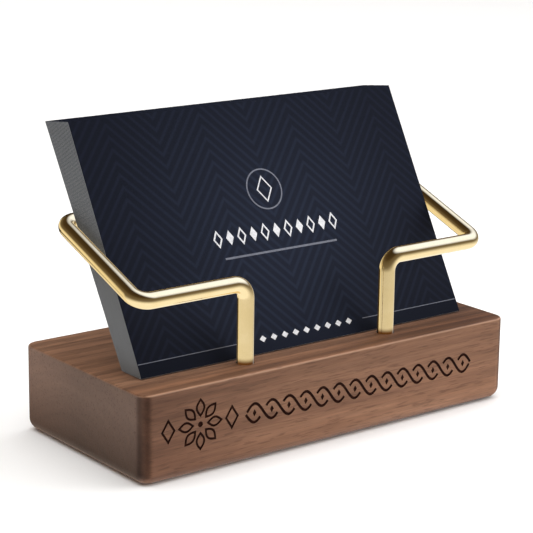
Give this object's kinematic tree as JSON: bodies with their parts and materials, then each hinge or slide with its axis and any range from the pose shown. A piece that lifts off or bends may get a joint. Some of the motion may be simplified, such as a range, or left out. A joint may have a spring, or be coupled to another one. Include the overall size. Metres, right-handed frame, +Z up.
{
  "type": "business card holder",
  "caption": "Rounded wooden block carrying one bent round rod that encloses a leaning stack of loose business cards on a desk.",
  "frame": {"origin": "middle of the block's underside", "axes": "+Z up; -Y is the front, where the cards face; +X is to the right seen from the front, along the block's length"},
  "size_m": [0.101, 0.046, 0.0688],
  "materials": {
    "walnut": "sanded and oiled, satin",
    "polished_gold": "polished pale gold",
    "printed_card": "matt print on heavy card stock, grey cut edges"
  },
  "bodies": {
    "base": {"wood_block": "walnut", "gold_rod": "polished_gold"},
    "loose_card_01": {"card_01": "printed_card"},
    "loose_card_02": {"card_02": "printed_card"},
    "loose_card_03": {"card_03": "printed_card"},
    "loose_card_04": {"card_04": "printed_card"},
    "loose_card_05": {"card_05": "printed_card"},
    "loose_card_06": {"card_06": "printed_card"},
    "loose_card_07": {"card_07": "printed_card"},
    "loose_card_08": {"card_08": "printed_card"},
    "loose_card_09": {"card_09": "printed_card"},
    "loose_card_10": {"card_10": "printed_card"},
    "loose_card_11": {"card_11": "printed_card"},
    "loose_card_12": {"card_12": "printed_card"},
    "loose_card_13": {"card_13": "printed_card"},
    "loose_card_14": {"card_14": "printed_card"},
    "loose_card_15": {"card_15": "printed_card"},
    "loose_card_16": {"card_16": "printed_card"},
    "loose_card_17": {"card_17": "printed_card"},
    "loose_card_18": {"card_18": "printed_card"}
  },
  "joints": [
    {"name": "card_01_lift", "type": "slide", "parent": "base", "child": "loose_card_01", "axis": [0, 0.4818, 0.8763], "range_m": [0, 0.045]},
    {"name": "card_02_lift", "type": "slide", "parent": "base", "child": "loose_card_02", "axis": [0, 0.4839, 0.8751], "range_m": [0, 0.045]},
    {"name": "card_03_lift", "type": "slide", "parent": "base", "child": "loose_card_03", "axis": [0, 0.486, 0.874], "range_m": [0, 0.045]},
    {"name": "card_04_lift", "type": "slide", "parent": "base", "child": "loose_card_04", "axis": [0, 0.4881, 0.8728], "range_m": [0, 0.045]},
    {"name": "card_05_lift", "type": "slide", "parent": "base", "child": "loose_card_05", "axis": [0, 0.4902, 0.8716], "range_m": [0, 0.045]},
    {"name": "card_06_lift", "type": "slide", "parent": "base", "child": "loose_card_06", "axis": [0, 0.4923, 0.8704], "range_m": [0, 0.045]},
    {"name": "card_07_lift", "type": "slide", "parent": "base", "child": "loose_card_07", "axis": [0, 0.4944, 0.8693], "range_m": [0, 0.045]},
    {"name": "card_08_lift", "type": "slide", "parent": "base", "child": "loose_card_08", "axis": [0, 0.4965, 0.8681], "range_m": [0, 0.045]},
    {"name": "card_09_lift", "type": "slide", "parent": "base", "child": "loose_card_09", "axis": [0, 0.4985, 0.8669], "range_m": [0, 0.045]},
    {"name": "card_10_lift", "type": "slide", "parent": "base", "child": "loose_card_10", "axis": [0, 0.5006, 0.8657], "range_m": [0, 0.045]},
    {"name": "card_11_lift", "type": "slide", "parent": "base", "child": "loose_card_11", "axis": [0, 0.5027, 0.8645], "range_m": [0, 0.045]},
    {"name": "card_12_lift", "type": "slide", "parent": "base", "child": "loose_card_12", "axis": [0, 0.5048, 0.8632], "range_m": [0, 0.045]},
    {"name": "card_13_lift", "type": "slide", "parent": "base", "child": "loose_card_13", "axis": [0, 0.5069, 0.862], "range_m": [0, 0.045]},
    {"name": "card_14_lift", "type": "slide", "parent": "base", "child": "loose_card_14", "axis": [0, 0.509, 0.8608], "range_m": [0, 0.045]},
    {"name": "card_15_lift", "type": "slide", "parent": "base", "child": "loose_card_15", "axis": [0, 0.511, 0.8596], "range_m": [0, 0.045]},
    {"name": "card_16_lift", "type": "slide", "parent": "base", "child": "loose_card_16", "axis": [0, 0.5131, 0.8583], "range_m": [0, 0.045]},
    {"name": "card_17_lift", "type": "slide", "parent": "base", "child": "loose_card_17", "axis": [0, 0.5152, 0.8571], "range_m": [0, 0.045]},
    {"name": "card_18_lift", "type": "slide", "parent": "base", "child": "loose_card_18", "axis": [0, 0.5172, 0.8559], "range_m": [0, 0.045]}
  ]
}
